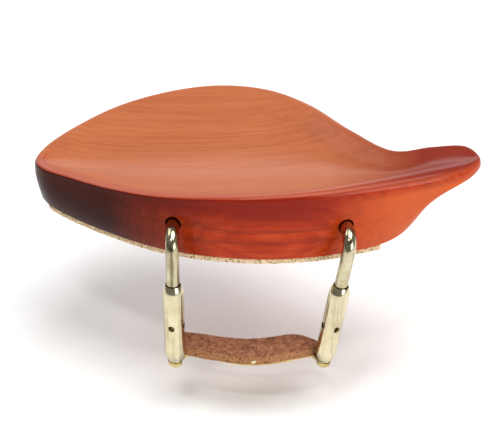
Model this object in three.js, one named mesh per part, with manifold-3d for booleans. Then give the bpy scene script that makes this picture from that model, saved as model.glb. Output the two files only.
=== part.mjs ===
// Violin chin rest: a dished wooden plate on a cork pad, held to the instrument's edge by a
// two-legged turnbuckle clamp. Millimetres, +Z up. The origin is on the flat underside of the
// plate's cork, midway between the legs; -Y is the clamp's side.
import * as THREE from 'three';
import { mergeVertices } from 'three/addons/utils/BufferGeometryUtils.js';
import Module from 'manifold-3d';

const wasm = await Module();
wasm.setup();

// ---- Driving dimensions --------------------------------------------------------------------

const CORK_THICKNESS = 1.5;
const GLUE_GAP = 0.1;
const WOOD_BASE = CORK_THICKNESS + GLUE_GAP;
const CORK_INSET = 0.2;

const ROD_RADIUS = 1.75;
const BORE_CLEARANCE = 0.3;
const BEND_RADIUS = 4;
const LEG_HOLE_HEIGHT = 10.2;
const LEG_HOLE_DEPTH = 12;
const LEG_HOLE_RADIUS = ROD_RADIUS + BORE_CLEARANCE;
const LEG_ARM_INSIDE = 11;
const ROD_AXIS_Y = -7.6;
const ROD_IN_BARREL = 17.3;

const BARREL_RADIUS = 2.75;
const BARREL_TOP = -3.4;
const BARREL_LENGTH = 23.5;
const BARREL_BORE = ROD_RADIUS + BORE_CLEARANCE;
const KEY_HOLE_RADIUS = 0.9;
const KEY_HOLE_BELOW_TOP = 12.5;
const NOSE = { radius: 2.05, height: 2.05 };
const LIP = { radius: 1.95, height: 0.4, slope: 0.1 };

const CLAMP_GAP = 25;
const FOOT_CORK_THICKNESS = 2.6;
const STRIP_THICKNESS = 1;
const EAR_RADIUS = 1.9;
const EAR_JOIN = 0.2;
const POST_SHANK_RADIUS = 1.1;
const POST_IN_BARREL = 5.6;
const RIVET_RADIUS = 1.5;
const RIVET_HEIGHT = 1.2;
const FIT_GAP = 0.1;
const POST_CHAMFER = 0.4;
const PIN_HOLE = { x: -1.6, y: -7.4, radius: 0.45 };

const STRIP_TOP = -CLAMP_GAP - FOOT_CORK_THICKNESS - GLUE_GAP;
const EAR_MIDDLE = STRIP_TOP - STRIP_THICKNESS / 2;

// One entry for each leg: where its hole meets the plate's front face, how far its arm turns
// outward in plan, how far its rod leans, and how the barrel's key holes are turned.
const SIDES = [
  { name: 'left', hole: [-22.5, -1.5], armTurn: 0, lean: 0, keyTurn: -0.25 },
  { name: 'right', hole: [22.3, -1.6], armTurn: 9, lean: 9.2, keyTurn: 0.4 },
];

// Stations of the wooden plate from the left tip to the right tip. ridge and back are the top
// outline, base and under the bottom one. dish is the hollow's depth, pad the share of the width
// that lies flat on the cork, and round the radius of the ridge between top and front face.
const TIP_LEFT = { top: [-60.9, 30.2, 12.2], bottom: [-60.1, 29.8, WOOD_BASE] };
const TIP_RIGHT = { top: [58.4, 20.6, 18.5], bottom: [57.2, 20.4, 16.8] };
const STATIONS = [
  { ridge: [-58.6, 24.6, 12.7], back: [-58.6, 38, 12.3], base: [-58, 24.4, WOOD_BASE],
    under: [-57.4, 36.6, 4.4] },
  { ridge: [-51, 18.6, 13.4], back: [-51.2, 48, 12.9], base: [-50.7, 17.2, WOOD_BASE],
    under: [-50.4, 46.2, 6] },
  { ridge: [-40, 10.6, 14.8], back: [-40, 58.3, 13.8], base: [-39.8, 9.3, WOOD_BASE],
    under: [-39.6, 56.3, 7.6] },
  { ridge: [-27, 3, 16.9], back: [-26, 65, 14.8], base: [-27, 2.1, WOOD_BASE],
    under: [-25.8, 63, 9] },
  { ridge: [-13, -0.9, 18.6], back: [-12, 67.6, 15.4], base: [-13, -2.1, WOOD_BASE],
    under: [-12, 65.5, 9.8] },
  { ridge: [2, -2.5, 19.8], back: [2, 64.4, 15.8], base: [2, -3.5, WOOD_BASE],
    under: [1.6, 62.4, 10.2] },
  { ridge: [16, -1, 20.2], back: [14, 54.5, 16.2], base: [16, -2, WOOD_BASE],
    under: [13, 52.8, 10.6] },
  { ridge: [28.5, 2.6, 20.1], back: [25.5, 38.2, 16.6], base: [29, 2.2, WOOD_BASE],
    under: [24.2, 36.7, 10.9] },
  { ridge: [39, 6.2, 20], back: [36.5, 26.2, 17.1], base: [37, 5.6, 3.4],
    under: [35.6, 24.8, 11.4] },
  { ridge: [48, 9.8, 19.9], back: [46.5, 26.5, 18.2], base: [45.3, 9.2, 11.6],
    under: [46, 25, 13.2] },
  { ridge: [55.2, 14.6, 19.3], back: [55.4, 25.8, 18.8], base: [53.2, 14.2, 15.6],
    under: [54, 24.2, 15.4] },
];
const DISH_DEPTH = [0, 1.2, 3, 5.2, 6.7, 7.4, 7.2, 6.2, 4.6, 2.8, 1.2, 0.5, 0];
const PAD_SHARE = [1, 0.85, 0.62, 0.43, 0.34, 0.31, 0.32, 0.38, 0.46, 0.2, 0, 0, 0];
const RIDGE_ROUND = [1.8, 1.3, 1, 0.9, 1, 1.4, 1.9, 2.5, 3.2, 3.8, 4, 3, 1.8];
const BACK_ROUND = 1.8;
const DISH_SHARPNESS = 1.15;
const UNDERSIDE_RISE = 1.2;
const FACE_BULGE = 1.6;
const EDGE_BULGE = 1.2;
const CORK_START = 1 / (STATIONS.length + 1);
const CORK_END = 8.35 / (STATIONS.length + 1);
const CORK_STEPS = 30;

// The rounded rim, in shares of its radius: how far it starts below the outline, how far its
// crest stands out and up, and how far out it turns down into the side.
const RIM_DROP = 0.1;
const CREST_OUT = 0.35;
const CREST_UP = 0.45;
const SHOULDER_OUT = 0.3;
const SIDE_THIRD = 0.33;
const UPPER_BULGE = 0.6;
const TIP_BULGE = 0.3;

const LENGTHWISE = 40;
const ACROSS = 12;
const RIDGE_STEPS = 3;
const FACE_STEPS = 5;
const ROUND = 28;

// ---- Helpers -------------------------------------------------------------------------------

const metal = new THREE.MeshStandardMaterial({ color: 0xd9c896, roughness: 0.25, metalness: 1 });
const wood = new THREE.MeshStandardMaterial({ color: 0xa8492a, roughness: 0.35, metalness: 0 });
const paleCork = new THREE.MeshStandardMaterial({ color: 0xc9a878, roughness: 0.9, metalness: 0 });
const darkCork = new THREE.MeshStandardMaterial({ color: 0x8e5c3c, roughness: 0.95, metalness: 0 });

const radians = THREE.MathUtils.degToRad;

function named(name, geometry, material) {
  const mesh = new THREE.Mesh(geometry, material);
  mesh.name = name;
  return mesh;
}

function onlyPositions(geometry) {
  const bare = geometry.clone();
  bare.deleteAttribute('normal');
  bare.deleteAttribute('uv');
  return mergeVertices(bare, 1e-4);
}

function toSolid(geometry) {
  const bare = onlyPositions(geometry);
  return new wasm.Manifold(new wasm.Mesh({
    numProp: 3,
    vertProperties: new Float32Array(bare.attributes.position.array),
    triVerts: new Uint32Array(bare.index.array),
  }));
}

function toGeometry(solid) {
  const mesh = solid.getMesh();
  const geometry = new THREE.BufferGeometry();
  geometry.setAttribute('position', new THREE.BufferAttribute(mesh.vertProperties, 3));
  geometry.setIndex(new THREE.BufferAttribute(mesh.triVerts, 1));
  return geometry;
}

// A shape drawn in plan, standing on the height z.
function slab(shape, thickness, z) {
  const geometry = new THREE.ExtrudeGeometry(shape, { depth: thickness, bevelEnabled: false });
  return geometry.translate(0, 0, z);
}

// A closed profile of [radius, height] pairs turned about the Z axis.
function turned(profile) {
  const points = profile.map(([radius, height]) => new THREE.Vector2(radius, height));
  return new THREE.LatheGeometry(points, ROUND).rotateX(Math.PI / 2);
}

// A cylinder from one point to another.
function drill(from, to, radius) {
  const way = to.clone().sub(from);
  const geometry = new THREE.CylinderGeometry(radius, radius, way.length(), ROUND);
  const up = new THREE.Vector3(0, 1, 0);
  const turn = new THREE.Quaternion().setFromUnitVectors(up, way.clone().normalize());
  const middle = from.clone().add(to).multiplyScalar(0.5);
  return geometry.applyQuaternion(turn).translate(middle.x, middle.y, middle.z);
}

// ---- The clamp's axes ----------------------------------------------------------------------

function armForward(side) {
  const turn = radians(side.armTurn);
  return new THREE.Vector3(Math.sin(turn), -Math.cos(turn), 0);
}

function rodDown(side) {
  const lean = radians(side.lean);
  return new THREE.Vector3(-Math.sin(lean), 0, -Math.cos(lean));
}

const holeMouth = (side) => new THREE.Vector3(side.hole[0], side.hole[1], LEG_HOLE_HEIGHT);

// Where the arm's axis meets the rod's axis.
function corner(side) {
  const reach = (side.hole[1] - ROD_AXIS_Y) / Math.cos(radians(side.armTurn));
  return holeMouth(side).addScaledVector(armForward(side), reach);
}

function onRodAxis(side, height) {
  const start = corner(side);
  const length = (start.z - height) / Math.cos(radians(side.lean));
  return start.clone().addScaledVector(rodDown(side), length);
}

// Puts a mesh whose own +Z runs up the rod's axis with its origin at the given height.
function standOnAxis(mesh, side, height) {
  mesh.position.copy(onRodAxis(side, height));
  mesh.rotation.y = radians(side.lean);
  return mesh;
}

// ---- Wooden plate --------------------------------------------------------------------------

function closedLoop(start, near, end, far) {
  const points = [start, ...near, end, ...far.slice().reverse()].map((p) => new THREE.Vector3(...p));
  return new THREE.CatmullRomCurve3(points, true, 'centripetal');
}

const topLoop = closedLoop(
  TIP_LEFT.top, STATIONS.map((s) => s.ridge), TIP_RIGHT.top, STATIONS.map((s) => s.back));
const bottomLoop = closedLoop(
  TIP_LEFT.bottom, STATIONS.map((s) => s.base), TIP_RIGHT.bottom, STATIONS.map((s) => s.under));

// The value of a list given at the stations, at the share u of the way from tip to tip.
function along(values, u) {
  return new THREE.SplineCurve(values.map((value, k) => new THREE.Vector2(k, value))).getPoint(u).y;
}

function outward(loop, t) {
  const tangent = loop.getTangent(t);
  return new THREE.Vector3(tangent.y, -tangent.x, 0).normalize();
}

// The share of the closed loop at which station u lies on the near (front) or far (back) side.
const nearShare = (u) => u / 2;
const farShare = (u) => (1 - u / 2) % 1;

function baseAt(share) {
  const point = bottomLoop.getPoint(share);
  point.z = Math.max(point.z, WOOD_BASE);
  return point;
}

function ridgeRound(share) {
  const near = share <= 0.5;
  const u = near ? share * 2 : 2 - share * 2;
  const front = along(RIDGE_ROUND, u);
  if (near) return front;
  const nearTip = Math.min(1, Math.min(u, 1 - u) * 8);
  return THREE.MathUtils.lerp(front, BACK_ROUND, nearTip);
}

// The inner start of the rounded rim: where the hollow top begins.
function rimStart(share) {
  const round = ridgeRound(share);
  const start = topLoop.getPoint(share).addScaledVector(outward(topLoop, share), -round);
  start.z -= round * RIM_DROP;
  return start;
}

// The side of the plate at one place round the outline, from the rim's start down to the base.
function sideCurve(share) {
  const out = outward(topLoop, share);
  const round = ridgeRound(share);
  const start = rimStart(share);
  const ridge = topLoop.getPoint(share);
  const end = baseAt(share);
  const crest = ridge.clone().addScaledVector(out, round * CREST_OUT);
  crest.z += round * CREST_UP;
  const shoulder = ridge.clone().addScaledVector(out, round * SHOULDER_OUT);
  shoulder.z -= round;
  const isBack = share > 0.5;
  const toTip = Math.min(share % 0.5, 0.5 - (share % 0.5));
  const fromTip = Math.min(1, 6 * toTip + TIP_BULGE);
  const bulge = (isBack ? EDGE_BULGE : FACE_BULGE) * fromTip;
  const drop = shoulder.z - end.z;
  const upper = shoulder.clone().addScaledVector(out, bulge * UPPER_BULGE);
  upper.z -= drop * SIDE_THIRD;
  const lower = end.clone().addScaledVector(out, bulge);
  lower.z += drop * SIDE_THIRD;
  const rim = new THREE.QuadraticBezierCurve3(start, crest, shoulder);
  const face = new THREE.CubicBezierCurve3(shoulder, upper, lower, end);
  return [...rim.getPoints(RIDGE_STEPS).slice(1), ...face.getPoints(FACE_STEPS).slice(1)];
}

function topPoint(u, across) {
  const point = rimStart(nearShare(u)).lerp(rimStart(farShare(u)), across);
  point.z -= along(DISH_DEPTH, u) * Math.sin(Math.PI * across) ** DISH_SHARPNESS;
  return point;
}

function bottomPoint(u, across) {
  const front = baseAt(nearShare(u));
  const back = baseAt(farShare(u));
  const pad = Math.min(along(PAD_SHARE, u), 0.98);
  const climb = Math.max(0, (across - pad) / (1 - pad)) ** UNDERSIDE_RISE;
  const height = front.z + (back.z - front.z) * climb;
  const point = front.lerp(back, across);
  point.z = height;
  return point;
}

// Stations crowd towards both tips, where the outline turns fastest.
const stationShare = (i) => (1 - Math.cos((Math.PI * i) / LENGTHWISE)) / 2;

function plateBlank() {
  const positions = [];
  const indices = [];
  const add = (point) => positions.push(point.x, point.y, point.z) / 3 - 1;
  const quad = (a, b, c, d) => indices.push(a, b, c, a, c, d);

  const shares = [];
  for (let i = 0; i < LENGTHWISE; i += 1) shares.push(nearShare(stationShare(i)));
  for (let i = LENGTHWISE; i > 0; i -= 1) shares.push(farShare(stationShare(i)));
  const rings = shares.length;

  const rim = shares.map((share) => add(rimStart(share)));
  const sides = shares.map((share) => sideCurve(share).map(add));
  const columns = sides.map((side, k) => [rim[k], ...side]);
  for (let k = 0; k < rings; k += 1) {
    const here = columns[k];
    const next = columns[(k + 1) % rings];
    for (let j = 0; j + 1 < here.length; j += 1) quad(here[j], here[j + 1], next[j + 1], next[j]);
  }

  // Rows of vertices from front to back, shared with the side's first or last ring.
  const cap = (makePoint, edge) => {
    const rows = [];
    for (let i = 0; i <= LENGTHWISE; i += 1) {
      const tip = i === 0 || i === LENGTHWISE;
      const row = [edge(i)];
      for (let j = 1; j < ACROSS && !tip; j += 1) row.push(add(makePoint(stationShare(i), j / ACROSS)));
      if (!tip) row.push(edge(rings - i));
      rows.push(row);
    }
    return rows;
  };
  const fill = (rows, flip) => {
    const face = (a, b, c) => (flip ? indices.push(a, c, b) : indices.push(a, b, c));
    for (let i = 0; i < LENGTHWISE; i += 1) {
      const here = rows[i];
      const next = rows[i + 1];
      for (let j = 0; j < ACROSS; j += 1) {
        if (here.length === 1) face(here[0], next[j], next[j + 1]);
        else if (next.length === 1) face(here[j], next[0], here[j + 1]);
        else {
          face(here[j], next[j], next[j + 1]);
          face(here[j], next[j + 1], here[j + 1]);
        }
      }
    }
  };
  const last = columns[0].length - 1;
  fill(cap(topPoint, (k) => columns[k % rings][0]), false);
  fill(cap(bottomPoint, (k) => columns[k % rings][last]), true);

  const geometry = new THREE.BufferGeometry();
  geometry.setAttribute('position', new THREE.Float32BufferAttribute(positions, 3));
  geometry.setIndex(indices);
  return geometry;
}

function chinPlate() {
  let solid = toSolid(plateBlank());
  for (const side of SIDES) {
    const mouth = holeMouth(side);
    const forward = armForward(side);
    const inner = mouth.clone().addScaledVector(forward, -LEG_HOLE_DEPTH);
    const outer = mouth.clone().addScaledVector(forward, 4);
    solid = solid.subtract(toSolid(drill(inner, outer, LEG_HOLE_RADIUS)));
  }
  return named('chin_plate', toGeometry(solid), wood);
}

function plateCork() {
  const shares = [];
  for (let i = 0; i <= CORK_STEPS; i += 1) {
    shares.push(CORK_START + ((CORK_END - CORK_START) * i) / CORK_STEPS);
  }
  const front = shares.map((u) => bottomPoint(u, 0)
    .addScaledVector(outward(bottomLoop, nearShare(u)), -CORK_INSET));
  const back = shares.map((u) => bottomPoint(u, Math.min(along(PAD_SHARE, u), 0.9)));
  const outline = [...front, ...back.reverse()].map((p) => new THREE.Vector2(p.x, p.y));
  return named('plate_cork', slab(new THREE.Shape(outline), CORK_THICKNESS, 0), paleCork);
}

// ---- Legs ----------------------------------------------------------------------------------

// A straight arm, one round bend and a straight rod. The first tenth of the curve is the arm and
// the last tenth the rod, so that ten steps put eight of them in the bend.
class LegPath extends THREE.Curve {
  constructor(side) {
    super();
    this.arm = armForward(side);
    this.rod = rodDown(side);
    this.angle = this.arm.angleTo(this.rod);
    this.normal = this.rod.clone().addScaledVector(this.arm, -this.rod.dot(this.arm)).normalize();
    const cut = BEND_RADIUS * Math.tan(this.angle / 2);
    this.inside = holeMouth(side).addScaledVector(this.arm, -LEG_ARM_INSIDE);
    this.bendStart = corner(side).addScaledVector(this.arm, -cut);
    this.end = onRodAxis(side, BARREL_TOP).addScaledVector(this.rod, ROD_IN_BARREL);
  }

  bendAngle(t) {
    return this.angle * THREE.MathUtils.clamp((t - 0.1) / 0.8, 0, 1);
  }

  getPoint(t) {
    if (t < 0.1) return this.inside.clone().lerp(this.bendStart, t / 0.1);
    const turn = this.bendAngle(t);
    const onBend = this.bendStart.clone()
      .addScaledVector(this.arm, BEND_RADIUS * Math.sin(turn))
      .addScaledVector(this.normal, BEND_RADIUS * (1 - Math.cos(turn)));
    return t <= 0.9 ? onBend : onBend.lerp(this.end, (t - 0.9) / 0.1);
  }

  getPointAt(t) {
    return this.getPoint(t);
  }

  getTangent(t) {
    const turn = this.bendAngle(t);
    return this.arm.clone().multiplyScalar(Math.cos(turn)).addScaledVector(this.normal, Math.sin(turn));
  }

  getTangentAt(t) {
    return this.getTangent(t);
  }
}

function roundShape(radius) {
  const shape = new THREE.Shape();
  shape.absarc(0, 0, radius, 0, Math.PI * 2);
  return shape;
}

function leg(side) {
  const geometry = new THREE.ExtrudeGeometry(roundShape(ROD_RADIUS), {
    steps: 10, curveSegments: 24, extrudePath: new LegPath(side),
  });
  return named(`${side.name}_leg`, geometry, metal);
}

// ---- Barrels -------------------------------------------------------------------------------

// A bored cylinder with the same tapered nose and narrower lip at both ends.
function barrel(side) {
  const end = [
    [BARREL_BORE, LIP.height + LIP.slope], [LIP.radius, LIP.height], [LIP.radius, 0],
    [NOSE.radius, 0], [BARREL_RADIUS, NOSE.height],
  ];
  const otherEnd = end.map(([radius, height]) => [radius, BARREL_LENGTH - height]).reverse();
  let solid = toSolid(turned([...end, ...otherEnd, end[0]]));
  const middle = new THREE.Vector3(0, 0, BARREL_LENGTH - KEY_HOLE_BELOW_TOP);
  for (const turn of [side.keyTurn, side.keyTurn + Math.PI / 2]) {
    const way = new THREE.Vector3(Math.sin(turn), -Math.cos(turn), 0);
    way.multiplyScalar(BARREL_RADIUS * 2);
    const hole = drill(middle.clone().sub(way), middle.clone().add(way), KEY_HOLE_RADIUS);
    solid = solid.subtract(toSolid(hole));
  }
  const mesh = named(`${side.name}_barrel`, toGeometry(solid), metal);
  return standOnAxis(mesh, side, BARREL_TOP - BARREL_LENGTH);
}

// ---- Foot ----------------------------------------------------------------------------------

// A smooth closed outline through hand-placed points.
function smoothShape(points) {
  const curve = new THREE.SplineCurve(points.map(([x, y]) => new THREE.Vector2(x, y)));
  return new THREE.Shape(curve.getPoints(points.length * 3));
}

const earCentre = (side) => onRodAxis(side, EAR_MIDDLE);

// The strip's front edge bows forward between the two ears and is set back beside each of them.
function stripShape() {
  const left = earCentre(SIDES[0]);
  const right = earCentre(SIDES[1]);
  const front = [
    [left.x + 1.3, left.y - 1.2], [left.x + 2.6, left.y + 2.2], [left.x + 6.6, left.y + 2.9],
    [-11.5, -6.6], [-6.8, -8.3], [-2.2, -8.9], [2.6, -8.5], [7.4, -7.3],
    [right.x - 6, left.y + 1.7], [right.x - 2.8, left.y + 2.2], [right.x - 1.3, left.y - 1.2],
  ];
  const back = [
    [right.x + 0.8, right.y + 1.4], [right.x - 1.2, right.y + 5], [10.8, 0.4], [7.4, 0.3],
    [2, -1], [-3.4, -1.6], [-9, -0.9], [-14, 0.3], [-18.4, 1.2], [left.x + 1.6, left.y + 7],
    [left.x - 0.8, left.y + 1.4],
  ];
  return smoothShape([...front, ...back, front[0]]);
}

// The cork stands out in front of the strip, and its ends run behind the barrels.
function corkShape() {
  return smoothShape([
    [-19.9, -5.7], [-15.5, -7.4], [-11.5, -8.4], [-6.8, -9.6], [-2.2, -10.1], [2.6, -9.7],
    [7.4, -8.3], [11, -7.2], [13.7, -6.3], [15.2, -4.9], [16.4, -4], [15.6, -2.6], [13.3, -1],
    [10.8, 0.2], [7.4, 0.3], [2, -1], [-3.4, -1.6], [-9, -0.9], [-14, 0.3], [-18.4, 1.2],
    [-21.2, 1.5], [-21.5, -1.4], [-21.4, -4.2], [-19.9, -5.7],
  ]);
}

// Each ear lies square to its own post, so the flat strip is cut away where the ear goes in.
function footStrip() {
  let solid = toSolid(slab(stripShape(), STRIP_THICKNESS, STRIP_TOP - STRIP_THICKNESS));
  const aboutEar = (side, reach, radius) => {
    const up = rodDown(side).negate();
    const below = earCentre(side).addScaledVector(up, -reach);
    return toSolid(drill(below, earCentre(side).addScaledVector(up, reach), radius));
  };
  for (const side of SIDES) {
    solid = solid.subtract(aboutEar(side, STRIP_THICKNESS * 2, EAR_RADIUS - EAR_JOIN));
    solid = solid.add(aboutEar(side, STRIP_THICKNESS / 2, EAR_RADIUS));
    solid = solid.subtract(aboutEar(side, STRIP_THICKNESS * 2, POST_SHANK_RADIUS + FIT_GAP));
  }
  const pinBelow = new THREE.Vector3(PIN_HOLE.x, PIN_HOLE.y, STRIP_TOP - STRIP_THICKNESS * 2);
  const pinAbove = pinBelow.clone().setZ(STRIP_TOP + STRIP_THICKNESS);
  solid = solid.subtract(toSolid(drill(pinBelow, pinAbove, PIN_HOLE.radius)));
  return named('foot_strip', toGeometry(solid), metal);
}

function footCork() {
  return named('foot_cork', slab(corkShape(), FOOT_CORK_THICKNESS, STRIP_TOP + GLUE_GAP), darkCork);
}

// A stud whose shank goes through the ear, with a domed rivet head below it.
function post(side) {
  const half = STRIP_THICKNESS / 2 + FIT_GAP;
  const barrelBottom = (BARREL_TOP - BARREL_LENGTH - EAR_MIDDLE) / Math.cos(radians(side.lean));
  const top = barrelBottom + POST_IN_BARREL;
  const dome = [0.5, 0.8, 0.95].map((share) => [
    RIVET_RADIUS * share, -half - RIVET_HEIGHT * Math.sqrt(1 - share * share),
  ]);
  const profile = [
    [0, -half - RIVET_HEIGHT], ...dome, [RIVET_RADIUS, -half], [POST_SHANK_RADIUS, -half],
    [POST_SHANK_RADIUS, half], [ROD_RADIUS, half], [ROD_RADIUS, top - POST_CHAMFER],
    [ROD_RADIUS - POST_CHAMFER, top], [0, top],
  ];
  return standOnAxis(named(`${side.name}_post`, turned(profile), metal), side, EAR_MIDDLE);
}

// ---- Assembly ------------------------------------------------------------------------------

const chinRest = new THREE.Group();
chinRest.add(chinPlate(), plateCork(), footStrip(), footCork());
for (const side of SIDES) chinRest.add(leg(side), barrel(side), post(side));

export default chinRest;
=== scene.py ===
# Looks for the violin chin rest: a finely lofted wooden plate, cork pads with torn edges, and
# polished plated metal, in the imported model's frame. Metres, +Z up.
import math

import bmesh
import bpy
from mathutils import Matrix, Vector, noise
from mathutils.bvhtree import BVHTree


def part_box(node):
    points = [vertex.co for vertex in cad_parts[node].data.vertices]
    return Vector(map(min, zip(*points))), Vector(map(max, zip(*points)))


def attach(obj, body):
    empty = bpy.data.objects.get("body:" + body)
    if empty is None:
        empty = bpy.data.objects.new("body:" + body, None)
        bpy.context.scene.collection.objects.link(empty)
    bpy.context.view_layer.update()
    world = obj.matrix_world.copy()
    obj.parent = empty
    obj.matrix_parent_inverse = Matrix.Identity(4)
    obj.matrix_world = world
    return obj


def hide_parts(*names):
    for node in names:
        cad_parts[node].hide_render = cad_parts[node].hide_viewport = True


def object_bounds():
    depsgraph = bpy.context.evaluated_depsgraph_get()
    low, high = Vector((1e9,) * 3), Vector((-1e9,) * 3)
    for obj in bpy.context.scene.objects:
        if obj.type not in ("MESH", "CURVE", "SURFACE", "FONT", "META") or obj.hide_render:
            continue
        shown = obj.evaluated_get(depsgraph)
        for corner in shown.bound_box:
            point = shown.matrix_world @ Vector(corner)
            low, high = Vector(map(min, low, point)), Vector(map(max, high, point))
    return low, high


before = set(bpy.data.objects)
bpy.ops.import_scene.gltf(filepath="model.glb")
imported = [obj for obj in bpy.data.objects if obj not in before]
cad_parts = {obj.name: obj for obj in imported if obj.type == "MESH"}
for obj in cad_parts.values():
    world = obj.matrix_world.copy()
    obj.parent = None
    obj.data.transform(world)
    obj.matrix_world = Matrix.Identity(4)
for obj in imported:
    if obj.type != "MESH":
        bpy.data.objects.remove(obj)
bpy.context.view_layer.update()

MM = 0.001

# ---- The plate's driving dimensions, in millimetres as in the part ---------------------------

WOOD_BASE = 1.6
TIP_LEFT = {"top": (-60.9, 30.2, 12.2), "bottom": (-60.1, 29.8, WOOD_BASE)}
TIP_RIGHT = {"top": (58.4, 20.6, 18.5), "bottom": (57.2, 20.4, 16.8)}
RIDGE = [
    (-58.6, 24.6, 12.7), (-51, 18.6, 13.4), (-40, 10.6, 14.8), (-27, 3, 16.9),
    (-13, -0.9, 18.6), (2, -2.5, 19.8), (16, -1, 20.2), (28.5, 2.6, 20.1),
    (39, 6.2, 20), (48, 9.8, 19.9), (55.2, 14.6, 19.3),
]
BACK = [
    (-58.6, 38, 12.3), (-51.2, 48, 12.9), (-40, 58.3, 13.8), (-26, 65, 14.8),
    (-12, 67.6, 15.4), (2, 64.4, 15.8), (14, 54.5, 16.2), (25.5, 38.2, 16.6),
    (36.5, 26.2, 17.1), (46.5, 26.5, 18.2), (55.4, 25.8, 18.8),
]
BASE = [
    (-58, 24.4, WOOD_BASE), (-50.7, 17.2, WOOD_BASE), (-39.8, 9.3, WOOD_BASE),
    (-27, 2.1, WOOD_BASE), (-13, -2.1, WOOD_BASE), (2, -3.5, WOOD_BASE),
    (16, -2, WOOD_BASE), (29, 2.2, WOOD_BASE), (37, 5.6, 3.4), (45.3, 9.2, 11.6),
    (53.2, 14.2, 15.6),
]
UNDER = [
    (-57.4, 36.6, 4.4), (-50.4, 46.2, 6), (-39.6, 56.3, 7.6), (-25.8, 63, 9),
    (-12, 65.5, 9.8), (1.6, 62.4, 10.2), (13, 52.8, 10.6), (24.2, 36.7, 10.9),
    (35.6, 24.8, 11.4), (46, 25, 13.2), (54, 24.2, 15.4),
]
DISH_DEPTH = [0, 1.2, 3, 5.2, 6.7, 7.4, 7.2, 6.2, 4.6, 2.8, 1.2, 0.5, 0]
PAD_SHARE = [1, 0.85, 0.62, 0.43, 0.34, 0.31, 0.32, 0.38, 0.46, 0.2, 0, 0, 0]
RIDGE_ROUND = [1.8, 1.3, 1, 0.9, 1, 1.4, 1.9, 2.5, 3.2, 3.8, 4, 3, 1.8]
BACK_ROUND = 1.8
DISH_SHARPNESS = 1.15
UNDERSIDE_RISE = 1.2
FACE_BULGE = 1.6
EDGE_BULGE = 1.2
RIM_DROP = 0.1
CREST_OUT = 0.35
CREST_UP = 0.45
SHOULDER_OUT = 0.3
SIDE_THIRD = 0.33
UPPER_BULGE = 0.6
TIP_BULGE = 0.3
BULGE_FADE = 6
ROUND_FADE = 8

LEG_HOLE_RADIUS = 2.05
LEG_HOLE_DEPTH = 12
COUNTERSINK = 0.2
# How far the two cutting tools reach past the plate's face, and where the face is looked for.
DRILL_REACH = 4
COUNTERSINK_REACH = 1
LOOK_FROM = 20

# ---- The clamp's driving dimensions, in millimetres as in the part ---------------------------

ROD_RADIUS = 1.75
BEND_RADIUS = 4
LEG_ARM_INSIDE = 11
LEG_ARM_CHAMFER = 0.3
ROD_AXIS_Y = -7.6
ROD_IN_BARREL = 17.3
BARREL_RADIUS = 2.75
BARREL_TOP = -3.4
BARREL_LENGTH = 23.5
BARREL_BORE = 2.05
KEY_HOLE_RADIUS = 0.9
KEY_HOLE_BELOW_TOP = 12.5
NOSE_RADIUS = 2.05
NOSE_HEIGHT = 2.05
LIP_RADIUS = 1.95
LIP_HEIGHT = 0.4
STRIP_TOP = -27.7
STRIP_THICKNESS = 1
EAR_MIDDLE = STRIP_TOP - STRIP_THICKNESS / 2
FIT_GAP = 0.1
POST_SHANK_RADIUS = 1.1
POST_IN_BARREL = 5.6
POST_CHAMFER = 0.1
RIVET_RADIUS = 1.5
RIVET_HEIGHT = 1.2
PIN_PLACE = (-1.6, -9.95, -26.8)
PIN_RADIUS = 0.6
PIN_DOME = 0.14
PIN_SHANK = 1.2

# The joint's travel for one turn of a barrel is two pitches, one at each end. The barrel turns
# positively about +Z as the clamp opens, so its upper thread is left-handed.
THREAD_PITCH = 0.7
THREAD_DEPTH = 0.22
THREAD_FROM_MOUTH = 1.2
THREAD_FLANK = 2.4
THREAD_RUNOUT = 0.4
ROD_THREAD_HAND = -1
POST_THREAD_HAND = 1

# ---- How finely the meshes are made ----------------------------------------------------------

AROUND = 64
KEY_HOLE_AROUND = 48
PIN_AROUND = 24
PIN_STEPS = 7
RIVET_STEPS = 8
BEND_STEPS = 32
STEPS_PER_THREAD = 12
LENGTHWISE = 120
ACROSS = 44
RIDGE_STEPS = 8
FACE_STEPS = 14
PLATE_SHARP = 38
BARREL_SHARP = 32
THREAD_SHARP = 50


class Side:
    """One leg's axes: where its hole is, which way its arm points and how its rod leans."""

    def __init__(self, name, hole, arm_turn, lean, key_turn):
        turn, tilt = math.radians(arm_turn), math.radians(lean)
        self.name = name
        self.hole = Vector(hole)
        self.arm = Vector((math.sin(turn), -math.cos(turn), 0))
        self.up = Vector((math.sin(tilt), 0, math.cos(tilt)))
        self.cosine = math.cos(tilt)
        self.key_turn = key_turn
        reach = (hole[1] - ROD_AXIS_Y) / math.cos(turn)
        self.corner = self.hole + self.arm * reach

    def on_axis(self, height):
        return self.corner - self.up * ((self.corner.z - height) / self.cosine)

    def across(self, angle):
        """A direction square to the rod's axis."""
        right = Vector((self.up.z, 0, -self.up.x))
        return right * math.cos(angle) + Vector((0, 1, 0)) * math.sin(angle)


SIDES = [
    Side("left", (-22.5, -1.5, 10.2), 0, 0, -0.25),
    Side("right", (22.3, -1.6, 10.2), 9, 9.2, 0.4),
]

# ---- Curves ----------------------------------------------------------------------------------


def spline_value(values, u):
    """Uniform Catmull-Rom through values given at the stations, at share u from tip to tip."""
    last = len(values) - 1
    place = min(max(u, 0), 1) * last
    k = min(int(place), last)
    t = place - k
    p1, p2 = values[k], values[min(k + 1, last)]
    p0 = values[k - 1] if k > 0 else values[k]
    p3 = values[k + 2] if k + 2 <= last else values[last]
    v0, v1 = (p2 - p0) / 2, (p3 - p1) / 2
    return ((2 * p1 - 2 * p2 + v0 + v1) * t ** 3 + (-3 * p1 + 3 * p2 - 2 * v0 - v1) * t * t
            + v0 * t + p1)


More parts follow.
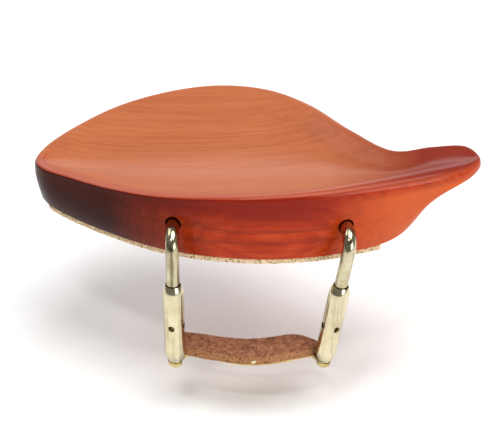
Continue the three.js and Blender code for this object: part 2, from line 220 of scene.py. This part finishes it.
class Loop:
    """A closed centripetal Catmull-Rom curve, the one that the part's outline follows."""

    def __init__(self, start, near, end, far):
        self.points = [Vector(p) for p in [start, *near, end, *reversed(far)]]

    def at(self, share):
        points = self.points
        count = len(points)
        place = count * (share % 1)
        k = int(place)
        t = place - k
        p0, p1, p2, p3 = (points[(k + step) % count] for step in (-1, 0, 1, 2))
        gaps = [max((b - a).length ** 0.5, 1e-6) for a, b in ((p0, p1), (p1, p2), (p2, p3))]
        g0, g1, g2 = gaps
        v1 = ((p1 - p0) / g0 - (p2 - p0) / (g0 + g1) + (p2 - p1) / g1) * g1
        v2 = ((p2 - p1) / g1 - (p3 - p1) / (g1 + g2) + (p3 - p2) / g2) * g1
        return ((2 * p1 - 2 * p2 + v1 + v2) * t ** 3
                + (-3 * p1 + 3 * p2 - 2 * v1 - v2) * t * t + v1 * t + p1)

    def outward(self, share):
        step = 1e-4
        tangent = self.at(share + step) - self.at(share - step)
        return Vector((tangent.y, -tangent.x, 0)).normalized()


top_loop = Loop(TIP_LEFT["top"], RIDGE, TIP_RIGHT["top"], BACK)
bottom_loop = Loop(TIP_LEFT["bottom"], BASE, TIP_RIGHT["bottom"], UNDER)


def near_share(u):
    return u / 2


def far_share(u):
    return (1 - u / 2) % 1


def base_at(share):
    point = bottom_loop.at(share)
    point.z = max(point.z, WOOD_BASE)
    return point


def ridge_round(share):
    near = share <= 0.5
    u = share * 2 if near else 2 - share * 2
    front = spline_value(RIDGE_ROUND, u)
    if near:
        return front
    near_tip = min(1, min(u, 1 - u) * ROUND_FADE)
    return front + (BACK_ROUND - front) * near_tip


def rim_start(share):
    rounding = ridge_round(share)
    start = top_loop.at(share) - top_loop.outward(share) * rounding
    start.z -= rounding * RIM_DROP
    return start


def side_curve(share):
    """The plate's side at one place round the outline, from just past the rim's start down."""
    out = top_loop.outward(share)
    rounding = ridge_round(share)
    start, ridge, end = rim_start(share), top_loop.at(share), base_at(share)
    crest = ridge + out * rounding * CREST_OUT
    crest.z += rounding * CREST_UP
    shoulder = ridge + out * rounding * SHOULDER_OUT
    shoulder.z -= rounding
    to_tip = min(share % 0.5, 0.5 - share % 0.5)
    from_tip = min(1, BULGE_FADE * to_tip + TIP_BULGE)
    bulge = (EDGE_BULGE if share > 0.5 else FACE_BULGE) * from_tip
    drop = shoulder.z - end.z
    upper = shoulder + out * bulge * UPPER_BULGE
    upper.z -= drop * SIDE_THIRD
    lower = end + out * bulge
    lower.z += drop * SIDE_THIRD
    points = []
    for i in range(1, RIDGE_STEPS + 1):
        t = i / RIDGE_STEPS
        points.append(start * (1 - t) ** 2 + crest * 2 * t * (1 - t) + shoulder * t * t)
    for i in range(1, FACE_STEPS + 1):
        t = i / FACE_STEPS
        points.append(shoulder * (1 - t) ** 3 + upper * 3 * t * (1 - t) ** 2
                      + lower * 3 * t * t * (1 - t) + end * t ** 3)
    return points


def top_point(u, across):
    point = rim_start(near_share(u)).lerp(rim_start(far_share(u)), across)
    point.z -= spline_value(DISH_DEPTH, u) * math.sin(math.pi * across) ** DISH_SHARPNESS
    return point


def bottom_point(u, across):
    front, back = base_at(near_share(u)), base_at(far_share(u))
    pad = min(spline_value(PAD_SHARE, u), 0.98)
    climb = max(0, (across - pad) / (1 - pad)) ** UNDERSIDE_RISE
    point = front.lerp(back, across)
    point.z = front.z + (back.z - front.z) * climb
    return point


# ---- Meshes ----------------------------------------------------------------------------------


def new_object(name, mesh):
    obj = bpy.data.objects.new(name, mesh)
    bpy.context.scene.collection.objects.link(obj)
    return obj


def shade_smooth(mesh, sharp_degrees=None):
    for polygon in mesh.polygons:
        polygon.use_smooth = True
    if sharp_degrees is not None:
        mesh.set_sharp_from_angle(angle=math.radians(sharp_degrees))


def face_outwards(bm):
    """Turns a closed mesh's faces outwards: a solid that is inside out has a negative volume."""
    bmesh.ops.recalc_face_normals(bm, faces=bm.faces)
    if bm.calc_volume(signed=True) < 0:
        bmesh.ops.reverse_faces(bm, faces=bm.faces)


def cut_with(obj, name, build):
    """Subtracts the closed mesh that build makes in a bmesh."""
    bm = bmesh.new()
    build(bm)
    mesh = bpy.data.meshes.new(name)
    bm.to_mesh(mesh)
    bm.free()
    cutter = new_object(name, mesh)
    cut = obj.modifiers.new("hole", "BOOLEAN")
    cut.operation = "DIFFERENCE"
    cut.solver = "MANIFOLD"
    cut.object = cutter
    bpy.context.view_layer.objects.active = obj
    bpy.ops.object.modifier_apply(modifier=cut.name)
    bpy.data.objects.remove(cutter)


def cone_between(bm, start, end, radius_start, radius_end, segments=AROUND):
    way = end - start
    made = bmesh.ops.create_cone(bm, cap_ends=True, segments=segments, radius1=radius_start * MM,
                                 radius2=radius_end * MM, depth=way.length * MM)
    turn = way.to_track_quat("Z", "X").to_matrix()
    bmesh.ops.rotate(bm, verts=made["verts"], matrix=turn)
    bmesh.ops.translate(bm, verts=made["verts"], vec=(start + end) / 2 * MM)


def cut_holes(obj):
    """Drills the two leg holes and breaks the edge of each mouth, square to the face there."""
    faces = BVHTree.FromObject(obj, bpy.context.evaluated_depsgraph_get())
    for side in SIDES:
        ahead = side.hole + side.arm * LOOK_FROM
        place, normal, _, _ = faces.ray_cast(ahead * MM, -side.arm)
        face = place / MM
        inner = side.hole - side.arm * LEG_HOLE_DEPTH
        mouth_radius = LEG_HOLE_RADIUS + COUNTERSINK
        cut_with(obj, "drill", lambda bm: cone_between(
            bm, inner, face + side.arm * DRILL_REACH, LEG_HOLE_RADIUS, LEG_HOLE_RADIUS))
        cut_with(obj, "countersink", lambda bm: cone_between(
            bm, face - normal * COUNTERSINK_REACH, face + normal * COUNTERSINK_REACH,
            mouth_radius - COUNTERSINK_REACH, mouth_radius + COUNTERSINK_REACH))


def make_plate():
    bm = bmesh.new()
    station = [(1 - math.cos(math.pi * i / LENGTHWISE)) / 2 for i in range(LENGTHWISE + 1)]
    shares = [near_share(station[i]) for i in range(LENGTHWISE)]
    shares += [far_share(station[i]) for i in range(LENGTHWISE, 0, -1)]
    rings = len(shares)

    def add(point):
        return bm.verts.new(point * MM)

    columns = [[add(rim_start(s)), *map(add, side_curve(s))] for s in shares]
    for k, here in enumerate(columns):
        beside = columns[(k + 1) % rings]
        for j in range(len(here) - 1):
            bm.faces.new((here[j], here[j + 1], beside[j + 1], beside[j]))

    def cap(make_point, row_end, flip):
        rows = []
        for i in range(LENGTHWISE + 1):
            is_tip = i in (0, LENGTHWISE)
            row = [columns[i % rings][row_end]]
            if not is_tip:
                row += [add(make_point(station[i], j / ACROSS)) for j in range(1, ACROSS)]
                row.append(columns[rings - i][row_end])
            rows.append(row)
        for here, beside in zip(rows, rows[1:]):
            for j in range(ACROSS):
                if len(here) == 1:
                    corners = [here[0], beside[j], beside[j + 1]]
                elif len(beside) == 1:
                    corners = [here[j], beside[0], here[j + 1]]
                else:
                    corners = [here[j], beside[j], beside[j + 1], here[j + 1]]
                bm.faces.new(reversed(corners) if flip else corners)

    cap(top_point, 0, False)
    cap(bottom_point, -1, True)
    face_outwards(bm)
    mesh = bpy.data.meshes.new("wood_plate")
    bm.to_mesh(mesh)
    bm.free()
    obj = new_object("wood_plate", mesh)
    cut_holes(obj)
    shade_smooth(obj.data, PLATE_SHARP)
    return obj


# Cycles of the crumbs' noise per millimetre.
COARSE_CRUMBS = 0.9
FINE_CRUMBS = 2.6


def torn_cork(name, node, cell, side_tear, top_tear, seed):
    """A cork pad made from its CAD solid: remeshed finely, then its cut edges torn back by crumbs
    and its faces pitted. Points only move inwards, so the pad stays in its own space."""
    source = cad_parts[node]
    obj = new_object(name, source.data.copy())
    remesh = obj.modifiers.new("remesh", "REMESH")
    remesh.mode = "VOXEL"
    remesh.voxel_size = cell
    bpy.context.view_layer.objects.active = obj
    bpy.ops.object.modifier_apply(modifier=remesh.name)
    mesh = obj.data
    low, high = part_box(node)
    normals = [v.normal.copy() for v in mesh.vertices]
    for v, normal in zip(mesh.vertices, normals):
        place = v.co / MM
        upright = abs(normal.z)
        coarse = noise.noise(place * COARSE_CRUMBS + Vector((seed, 0, 0)))
        fine = noise.noise(place * FINE_CRUMBS + Vector((0, seed, 0)))
        crumb = max(0, 0.45 + 0.9 * coarse + 0.7 * fine)
        near_edge = 1 - upright
        depth = side_tear * near_edge * crumb + top_tear * upright * max(0, fine - 0.1)
        v.co -= normal * depth
        v.co.z = min(max(v.co.z, low.z), high.z)
    shade_smooth(mesh)
    return obj


def smooth_mesh(name, bm, sharp_degrees):
    face_outwards(bm)
    mesh = bpy.data.meshes.new(name)
    bm.to_mesh(mesh)
    bm.free()
    obj = new_object(name, mesh)
    shade_smooth(mesh, sharp_degrees)
    return obj


def skin(bm, rings, closed=False):
    """Faces between rings of vertices. An open skin is capped at both ends."""
    count = len(rings[0])
    last = len(rings) if closed else len(rings) - 1
    for k in range(last):
        here, beside = rings[k], rings[(k + 1) % len(rings)]
        for j in range(count):
            after = (j + 1) % count
            bm.faces.new((here[j], here[after], beside[after], beside[j]))
    if not closed:
        bm.faces.new(rings[0])
        bm.faces.new(rings[-1])


def ring_of(bm, middle, direction, radius_at, count=AROUND):
    """A ring of vertices: direction and radius_at both take the angle round it."""
    turns = [math.tau * j / count for j in range(count)]
    return [bm.verts.new((middle + direction(turn) * radius_at(turn)) * MM) for turn in turns]


def turned_on(side, base, profile):
    """A closed profile of (radius, height) turned about the rod's axis, with height 0 at base."""
    bm = bmesh.new()
    rings = [ring_of(bm, base + side.up * height, side.across, lambda _: radius)
             for radius, height in profile]
    skin(bm, rings, closed=True)
    return bm


def thread_radius(radius, height, angle, hand):
    """A V thread cut into a rod of that radius."""
    phase = (height / THREAD_PITCH - hand * angle / math.tau) % 1
    return radius - THREAD_DEPTH * min(1, THREAD_FLANK * abs(phase - 0.5))


def make_leg(side):
    """The arm in the plate, the bend, the plain rod and its thread, in one skin."""
    down = -side.up
    angle = side.arm.angle(down)
    normal = (down - side.arm * down.dot(side.arm)).normalized()
    sideways = side.arm.cross(normal)
    bend_start = side.corner - side.arm * BEND_RADIUS * math.tan(angle / 2)
    inside = side.hole - side.arm * LEG_ARM_INSIDE
    bm = bmesh.new()
    rings = []

    def ring(place, way, radius_at):
        over = sideways.cross(way).normalized()
        rings.append(ring_of(
            bm, place, lambda turn: sideways * math.cos(turn) + over * math.sin(turn), radius_at))

    ring(inside, side.arm, lambda _: ROD_RADIUS - LEG_ARM_CHAMFER)
    ring(inside + side.arm * LEG_ARM_CHAMFER, side.arm, lambda _: ROD_RADIUS)
    for k in range(BEND_STEPS + 1):
        turn = angle * k / BEND_STEPS
        place = (bend_start + side.arm * BEND_RADIUS * math.sin(turn)
                 + normal * BEND_RADIUS * (1 - math.cos(turn)))
        ring(place, side.arm * math.cos(turn) + normal * math.sin(turn), lambda _: ROD_RADIUS)
    mouth = side.on_axis(BARREL_TOP)
    length = ROD_IN_BARREL - THREAD_FROM_MOUTH
    steps = int(length / THREAD_PITCH * STEPS_PER_THREAD)
    for k in range(steps + 1):
        run = length * k / steps
        fade = min(1, run / THREAD_PITCH, (length - run) / THREAD_RUNOUT + THREAD_RUNOUT)

        def radius_at(turn):
            cut = ROD_RADIUS - thread_radius(ROD_RADIUS, -run, turn, ROD_THREAD_HAND)
            return ROD_RADIUS - cut * fade

        ring(mouth + down * (THREAD_FROM_MOUTH + run), down, radius_at)
    skin(bm, rings)
    return smooth_mesh(f"{side.name}_rod", bm, THREAD_SHARP)


def make_barrel(side):
    """A turned barrel with the same tapered nose at both ends, its edges slightly rounded."""
    nose = [
        (BARREL_BORE, LIP_HEIGHT + 0.1), (LIP_RADIUS, LIP_HEIGHT), (LIP_RADIUS, 0.03),
        (LIP_RADIUS + 0.03, 0), (NOSE_RADIUS - 0.02, 0), (NOSE_RADIUS + 0.04, 0.06),
        (BARREL_RADIUS - 0.06, NOSE_HEIGHT - 0.2), (BARREL_RADIUS - 0.02, NOSE_HEIGHT - 0.03),
        (BARREL_RADIUS, NOSE_HEIGHT + 0.2),
    ]
    profile = nose + [(radius, BARREL_LENGTH - height) for radius, height in reversed(nose)]
    base = side.on_axis(BARREL_TOP - BARREL_LENGTH)
    bm = turned_on(side, base, profile)
    obj = smooth_mesh(f"{side.name}_turnbuckle", bm, BARREL_SHARP)
    middle = base + side.up * (BARREL_LENGTH - KEY_HOLE_BELOW_TOP)
    for turn in (side.key_turn, side.key_turn + math.pi / 2):
        way = side.across(turn - math.pi / 2) * BARREL_RADIUS * 2
        cut_with(obj, "key_hole", lambda bm: cone_between(
            bm, middle - way, middle + way, KEY_HOLE_RADIUS, KEY_HOLE_RADIUS, KEY_HOLE_AROUND))
    shade_smooth(obj.data, BARREL_SHARP)
    return obj


def make_post(side):
    """A domed rivet, its shank through the ear, and a threaded stud up into the barrel."""
    half = STRIP_THICKNESS / 2 + FIT_GAP
    bottom = (BARREL_TOP - BARREL_LENGTH - EAR_MIDDLE) / side.cosine
    top = bottom + POST_IN_BARREL
    base = side.on_axis(EAR_MIDDLE)
    bm = bmesh.new()
    rings = []

    def ring(radius_at, height):
        rings.append(ring_of(bm, base + side.up * height, side.across, radius_at))

    for k in range(1, RIVET_STEPS + 1):
        share = math.sin(math.pi / 2 * k / RIVET_STEPS)
        ring(lambda _: RIVET_RADIUS * share, -half - RIVET_HEIGHT * math.sqrt(1 - share ** 2))
    thread_start = half + POST_CHAMFER
    for radius, height in ((POST_SHANK_RADIUS, -half), (POST_SHANK_RADIUS, half),
                           (ROD_RADIUS - POST_CHAMFER, half), (ROD_RADIUS, thread_start)):
        ring(lambda _: radius, height)
    length = top - thread_start
    steps = int(length / THREAD_PITCH * STEPS_PER_THREAD)
    for k in range(1, steps + 1):
        run = length * k / steps
        fade = min(1, run / THREAD_PITCH)

        def radius_at(turn):
            cut = ROD_RADIUS - thread_radius(ROD_RADIUS, run, turn, POST_THREAD_HAND)
            return ROD_RADIUS - cut * fade

        ring(radius_at, thread_start + run)
    skin(bm, rings)
    return smooth_mesh(f"{side.name}_stud", bm, THREAD_SHARP)


def make_pin():
    """A small domed pin head showing in the front edge of the foot's cork."""
    bm = bmesh.new()
    middle = Vector(PIN_PLACE)
    rings = []
    for k in range(1, PIN_STEPS + 1):
        angle = math.pi / 2 * k / PIN_STEPS
        rings.append(ring_of(
            bm, middle + Vector((0, -PIN_DOME * math.cos(angle), 0)),
            lambda turn: Vector((math.cos(turn), 0, math.sin(turn))),
            lambda _: PIN_RADIUS * math.sin(angle), PIN_AROUND))
    rings.append([bm.verts.new(v.co + Vector((0, PIN_SHANK, 0)) * MM) for v in rings[-1]])
    skin(bm, rings)
    return smooth_mesh("foot_pin", bm, THREAD_SHARP)


# ---- Materials -------------------------------------------------------------------------------

# Linear colours. Where there are three they run from dark to light.
TOP_TONES = [(0.36, 0.106, 0.042), (0.42, 0.127, 0.052), (0.47, 0.152, 0.066)]
FACE_TONES = [(0.30, 0.020, 0.003), (0.43, 0.034, 0.004), (0.53, 0.060, 0.010)]
# Painted shade in a strip on the top beside the front ridge.
RIDGE_PAINTED_SHADE = (0.33, 0.045, 0.022)
# Painted shade on the upper front face under the ridge.
UNDER_RIDGE_PAINTED_SHADE = (0.21, 0.010, 0.003)
# Painted light on the front face below the wing.
UNDER_WING_PAINTED_LIGHT = (0.57, 0.106, 0.026)
# Painted shade on the top of the wing.
WING_TOP_PAINTED_SHADE = (0.19, 0.018, 0.010)
# Painted shade at the left end of the front face, with the left leg's shadow.
LEFT_END_PAINTED_SHADE = (0.036, 0.004, 0.001)
CLOUD = (0.34, 0.070, 0.026)
STREAK = (0.13, 0.014, 0.005)
PALE_CORK_TONES = [(0.20, 0.11, 0.05), (0.72, 0.52, 0.31), (0.92, 0.76, 0.54)]
PALE_CORK_EDGE = (0.80, 0.57, 0.33)
BROWN_CORK_TONES = [(0.10, 0.038, 0.020), (0.25, 0.098, 0.050), (0.40, 0.19, 0.105)]
BROWN_CORK_EDGE = (0.42, 0.19, 0.080)
GOLD_TONES = [(0.56, 0.48, 0.30), (0.67, 0.60, 0.40), (0.75, 0.70, 0.51)]
# The rods' tones are darker than the barrels' as painted dark reflection.
ROD_TONES = [(0.40, 0.34, 0.20), (0.55, 0.49, 0.33), (0.72, 0.68, 0.52)]
STRIP_TONES = [(0.45, 0.34, 0.12), (0.58, 0.46, 0.18), (0.66, 0.56, 0.28)]
# Painted dark reflection, laid on the plating as upright streaks.
DARK_REFLECTION = (0.17, 0.145, 0.085)
FLOOR_TONES = [(0.90, 0.91, 0.92), (0.92, 0.93, 0.94)]

# The front ridge in plan is close to this parabola: y = front + curve * (x - middle) squared.
RIDGE_MIDDLE_X = 2
RIDGE_FRONT_Y = -2.5
RIDGE_CURVE = 0.0081


class Nodes:
    """Builds one material's nodes, with short calls for the kinds that repeat."""

    def __init__(self, name):
        self.material = bpy.data.materials.new(name)
        self.material.use_nodes = True
        self.tree = self.material.node_tree
        self.shader = self.tree.nodes["Principled BSDF"]
        self.place = self.add("ShaderNodeTexCoord").outputs["Object"]

    def add(self, kind, **values):
        node = self.tree.nodes.new(kind)
        for key, value in values.items():
            setattr(node, key, value)
        return node

    def feed(self, socket, value):
        if isinstance(value, bpy.types.NodeSocket):
            self.tree.links.new(value, socket)
        else:
            socket.default_value = value

    def stretched(self, scale):
        node = self.add("ShaderNodeMapping")
        self.feed(node.inputs["Vector"], self.place)
        node.inputs["Scale"].default_value = scale
        return node.outputs["Vector"]

    def noise(self, vector, scale, detail=6, roughness=0.55, distortion=0):
        node = self.add("ShaderNodeTexNoise")
        self.feed(node.inputs["Vector"], vector)
        for key, value in (("Scale", scale), ("Detail", detail), ("Roughness", roughness),
                           ("Distortion", distortion)):
            node.inputs[key].default_value = value
        return node.outputs["Fac"]

    def ramp(self, value, positions, colours):
        node = self.add("ShaderNodeValToRGB")
        self.feed(node.inputs["Fac"], value)
        elements = node.color_ramp.elements
        while len(elements) < len(colours):
            elements.new(0.5)
        for element, position, colour in zip(elements, positions, colours):
            element.position = position
            element.color = (*colour, 1)
        return node.outputs["Color"]

    def mix(self, a, b, share):
        node = self.add("ShaderNodeMix", data_type="RGBA")
        self.feed(node.inputs["Factor"], share)
        self.feed(node.inputs[6], a)
        self.feed(node.inputs[7], b)
        return node.outputs[2]

    def tinted(self, base, colour, share):
        return self.mix(base, (*colour, 1), share)

    def span(self, value, low, high, to_low=0.0, to_high=1.0):
        node = self.add("ShaderNodeMapRange")
        self.feed(node.inputs["Value"], value)
        for key, number in (("From Min", low), ("From Max", high), ("To Min", to_low),
                            ("To Max", to_high)):
            node.inputs[key].default_value = number
        return node.outputs["Result"]

    def combined(self, operation, a, b):
        node = self.add("ShaderNodeMath", operation=operation)
        self.feed(node.inputs[0], a)
        self.feed(node.inputs[1], b)
        return node.outputs[0]

    def sum(self, a, b):
        return self.combined("ADD", a, b)

    def product(self, a, b):
        return self.combined("MULTIPLY", a, b)

    def part_of(self, vector, axis):
        node = self.add("ShaderNodeSeparateXYZ")
        self.feed(node.inputs["Vector"], vector)
        return node.outputs[axis]

    def along(self, axis):
        return self.part_of(self.place, axis)

    def upright(self):
        """How much the surface faces up: 1 on top, 0 on a side, -1 underneath."""
        return self.part_of(self.add("ShaderNodeNewGeometry").outputs["Normal"], "Z")

    def bump(self, height, strength, distance):
        node = self.add("ShaderNodeBump")
        self.feed(node.inputs["Height"], height)
        node.inputs["Strength"].default_value = strength
        node.inputs["Distance"].default_value = distance
        self.feed(self.shader.inputs["Normal"], node.outputs["Normal"])


def grained_wood(n, fibre, pore, upright):
    """The colour: orange on top, red down the sides (partly side grain, partly painted shade),
    with darker streaks and pores.
    """
    band = n.noise(n.stretched((10, 110, 330)), 1.0, detail=5, roughness=0.6, distortion=0.3)
    broad = n.noise(n.place, 22, detail=2)
    orange = n.ramp(fibre, (0.31, 0.5, 0.70), TOP_TONES)
    red = n.ramp(fibre, (0.33, 0.5, 0.68), FACE_TONES)
    # Painted shade together with the side grain: the sides get the darker red FACE_TONES.
    body = n.mix(red, orange, n.span(upright, 0.30, 0.92))
    clouded = n.tinted(body, CLOUD, n.span(broad, 0.45, 0.75, 0, 0.30))
    streaked = n.tinted(clouded, STREAK, n.product(
        n.span(band, 0.50, 0.70, 0, 0.85), n.span(upright, 0.95, 0.4, 0.10, 1)))
    return n.tinted(streaked, STREAK, n.span(pore, 0.56, 0.72, 0, 0.30))


def painted_shade_by_the_ridge(n, colour, upright):
    """Painted shade: darker and redder in a strip on the top beside the front ridge."""
    x_off = n.sum(n.along("X"), -RIDGE_MIDDLE_X * MM)
    behind = n.sum(n.along("Y"), n.product(n.product(x_off, x_off), -RIDGE_CURVE / MM))
    beside = n.span(behind, (RIDGE_FRONT_Y + 6) * MM, (RIDGE_FRONT_Y + 0.5) * MM, 0, 0.75)
    return n.tinted(colour, RIDGE_PAINTED_SHADE, n.product(beside, n.span(upright, 0.35, 0.75)))


def shaded_face(n, colour, upright):
    """On the front face: painted shade under the ridge, painted light below the wing, and painted
    shade with the left leg's shadow at the left end.
    """
    on_face = n.span(upright, 0.80, 0.45)
    # Painted shade on the upper face under the ridge.
    high = n.product(n.span(n.along("Z"), 10.5 * MM, 15.5 * MM, 0, 0.95),
                     n.span(n.along("X"), 10 * MM, 30 * MM, 1, 0.25))
    # Painted light on the face below the wing.
    lit_below_wing = n.product(n.span(n.along("X"), 18 * MM, 36 * MM, 0, 0.8),
                           n.span(n.along("Z"), 18.5 * MM, 16 * MM, 0, 1))
    # Painted shade at the left end, with the left leg's cast shadow.
    shade_to_left = n.product(n.span(n.along("X"), -10 * MM, -40 * MM, 0, 1),
                        n.span(n.along("Z"), 7 * MM, 16 * MM, 1, 0.90))
    for tone, where in ((UNDER_RIDGE_PAINTED_SHADE, high), (UNDER_WING_PAINTED_LIGHT, lit_below_wing), (LEFT_END_PAINTED_SHADE, shade_to_left)):
        colour = n.tinted(colour, tone, n.product(where, on_face))
    return colour


def varnished_wood():
    """Fine, straight grain along the plate, with colours that change from place to place,
    some of them painted shade and painted light, under a clear varnish."""
    n = Nodes("varnished_wood")
    fibre = n.noise(n.stretched((20, 1250, 330)), 1.0, detail=9, roughness=0.66, distortion=0.05)
    pore = n.noise(n.stretched((170, 3600, 1500)), 1.0, detail=3, roughness=0.6)
    upright = n.upright()
    grained = grained_wood(n, fibre, pore, upright)
    # Painted shade beside the ridge, then painted shade and painted light on the front face.
    shaded = shaded_face(n, painted_shade_by_the_ridge(n, grained, upright), upright)
    # Painted shade on the top of the wing.
    wing_top_shade = n.product(n.span(n.along("X"), 18 * MM, 44 * MM, 0, 0.95),
                        n.span(upright, 0.55, 0.95))
    n.feed(n.shader.inputs["Base Color"], n.tinted(shaded, WING_TOP_PAINTED_SHADE, wing_top_shade))
    n.feed(n.shader.inputs["Roughness"], n.span(fibre, 0.3, 0.7, 0.30, 0.42))
    n.shader.inputs["Specular IOR Level"].default_value = 0.03
    n.shader.inputs["Coat Weight"].default_value = 0.24
    # The dish is duller from use, and the edges and sides are still glossy.
    n.feed(n.shader.inputs["Coat Roughness"], n.span(upright, 0.88, 0.98, 0.09, 0.26))
    n.bump(n.mix(fibre, pore, 0.5), 0.12, 0.06 * MM)
    return n.material


def cork(name, tones, edge):
    """Crushed granules with dark pits, in another tone where the edge has been cut."""
    n = Nodes(name)
    dark, _, light = tones
    cells = n.add("ShaderNodeTexVoronoi")
    n.feed(cells.inputs["Vector"], n.place)
    cells.inputs["Scale"].default_value = 1500
    mottle = n.noise(n.place, 900, detail=8, roughness=0.7)
    broad = n.noise(n.place, 160, detail=3)
    speck = n.noise(n.place, 1700, detail=4, roughness=0.7)
    grains = n.ramp(mottle, (0.34, 0.5, 0.66), tones)
    toned = n.tinted(grains, dark, n.span(broad, 0.62, 0.8, 0, 0.35))
    torn = n.ramp(speck, (0.36, 0.5, 0.66), (dark, edge, light))
    n.feed(n.shader.inputs["Base Color"], n.mix(toned, torn, n.span(n.upright(), 0.75, 0.3)))
    n.shader.inputs["Roughness"].default_value = 0.9
    n.shader.inputs["Specular IOR Level"].default_value = 0.18
    n.bump(n.sum(mottle, cells.outputs["Distance"]), 0.7, 0.22 * MM)
    return n.material


def gold_plate(name, tones, reflection_share):
    """Pale gold plating, polished but handled: smears and fine drawing marks, with upright
    streaks of painted dark reflection, which are stronger where reflection_share is larger."""
    n = Nodes(name)
    smear = n.noise(n.place, 260, detail=5, roughness=0.6)
    marks = n.noise(n.stretched((3000, 3000, 160)), 1.0, detail=3)
    # Painted reflection: upright dark streaks on the polished metal.
    reflection_streaks = n.noise(n.stretched((700, 700, 45)), 1.0, detail=4, distortion=0.3)
    plated = n.ramp(smear, (0.3, 0.55, 0.8), tones)
    n.feed(n.shader.inputs["Base Color"],
           n.tinted(plated, DARK_REFLECTION, n.span(reflection_streaks, 0.50, 0.62, 0, reflection_share)))
    n.shader.inputs["Metallic"].default_value = 1
    n.feed(n.shader.inputs["Roughness"], n.span(smear, 0.3, 0.75, 0.10, 0.20))
    n.bump(marks, 0.05, 0.03 * MM)
    return n.material


def paint(obj, material):
    obj.data.materials.clear()
    obj.data.materials.append(material)


wood = varnished_wood()
pale_cork = cork("pale_cork", PALE_CORK_TONES, PALE_CORK_EDGE)
brown_cork = cork("brown_cork", BROWN_CORK_TONES, BROWN_CORK_EDGE)
# The rods get the most painted dark reflection, the barrels, posts and pin the least.
metal = gold_plate("gold_plate", GOLD_TONES, 0.3)
rod_metal = gold_plate("gold_plate_rods", ROD_TONES, 0.9)
strip_metal = gold_plate("gold_plate_strip", STRIP_TONES, 0.4)

# ---- Pieces ----------------------------------------------------------------------------------

plate = make_plate()
paint(plate, wood)
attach(plate, "plate")
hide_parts("chin_plate")

top_pad = torn_cork("plate_cork_pad", "plate_cork", cell=0.32 * MM, side_tear=0.34 * MM,
                    top_tear=0.08 * MM, seed=3)
paint(top_pad, pale_cork)
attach(top_pad, "plate")
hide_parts("plate_cork")

foot_pad = torn_cork("foot_cork_pad", "foot_cork", cell=0.26 * MM, side_tear=0.30 * MM,
                     top_tear=0.10 * MM, seed=11)
paint(foot_pad, brown_cork)
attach(foot_pad, "foot")
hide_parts("foot_cork")

for side in SIDES:
    for make, node, body in ((make_leg, "leg", f"{side.name}_leg"),
                             (make_barrel, "barrel", f"{side.name}_barrel"),
                             (make_post, "post", "foot")):
        piece = make(side)
        paint(piece, rod_metal if node == "leg" else metal)
        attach(piece, body)
        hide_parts(f"{side.name}_{node}")

pin = make_pin()
paint(pin, metal)
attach(pin, "foot")

paint(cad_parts["foot_strip"], strip_metal)

# ---- Studio ----------------------------------------------------------------------------------

# The foot moves 14 mm down from rest, and the floor lies just below its lowest point there.
CLAMP_TRAVEL = 14
FLOOR_GAP = 1
FLOOR_HALF_WIDTH = 3
TARGET = Vector((-2.58, 14.46, 4.13)) * MM
DISTANCE = 0.444
ELEVATION = math.radians(32)
LENS = 119.4
SENSOR_WIDTH = 36
NEAREST = 0.01
FARTHEST = 20
WORLD_LIGHT = 0.24
WHITE = (1, 1, 1)
WARM_WHITE = (1, 0.98, 0.95)


def make_floor():
    low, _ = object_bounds()
    bm = bmesh.new()
    bmesh.ops.create_grid(bm, x_segments=2, y_segments=2, size=FLOOR_HALF_WIDTH)
    mesh = bpy.data.meshes.new("floor")
    bm.to_mesh(mesh)
    bm.free()
    floor = new_object("floor", mesh)
    floor.location.z = low.z - (CLAMP_TRAVEL + FLOOR_GAP) * MM
    n = Nodes("floor_paper")
    paper = n.ramp(n.noise(n.place, 6, detail=2), (0.3, 0.7), FLOOR_TONES)
    n.feed(n.shader.inputs["Base Color"], paper)
    n.shader.inputs["Roughness"].default_value = 0.9
    paint(floor, n.material)


def area_light(name, place, size, power, colour=WHITE):
    """A rectangular light in metres and watts, turned towards the object."""
    data = bpy.data.lights.new(name, "AREA")
    data.shape = "RECTANGLE"
    data.size, data.size_y = size
    data.energy = power
    data.color = colour
    light = new_object(name, data)
    light.location = place
    light.rotation_mode = "QUATERNION"
    light.rotation_quaternion = (TARGET - light.location).to_track_quat("-Z", "Y")


def make_world():
    world = bpy.data.worlds.new("studio")
    world.use_nodes = True
    world.node_tree.nodes["Background"].inputs["Color"].default_value = (*WHITE, 1)
    world.node_tree.nodes["Background"].inputs["Strength"].default_value = WORLD_LIGHT
    bpy.context.scene.world = world
    bpy.context.scene.view_settings.view_transform = "Standard"


def make_camera():
    data = bpy.data.cameras.new("camera")
    data.sensor_width = SENSOR_WIDTH
    data.lens = LENS
    data.clip_start, data.clip_end = NEAREST, FARTHEST
    camera = new_object("camera", data)
    back = Vector((0, -math.cos(ELEVATION), math.sin(ELEVATION)))
    camera.location = TARGET + back * DISTANCE
    camera.rotation_mode = "QUATERNION"
    camera.rotation_quaternion = (-back).to_track_quat("-Z", "Y")
    bpy.context.scene.camera = camera


make_floor()
make_world()
# Glint and sparkle are small and weak: they only give the varnish and the metal their highlights.
area_light("key", (0.14, -0.04, 0.66), (0.50, 0.50), 4.7, WARM_WHITE)
area_light("front", (0.55, -0.56, 0.24), (0.55, 0.42), 2.3)
area_light("glint", (0.55, -0.56, 0.20), (0.24, 0.20), 0.6)
area_light("sparkle", (-0.10, -0.26, 0.46), (0.10, 0.025), 0.45)
area_light("back", (-0.50, 0.30, 0.62), (0.50, 0.50), 1.5)
area_light("backdrop", (-0.10, 0.95, 0.28), (1.6, 0.5), 4.5)
make_camera()
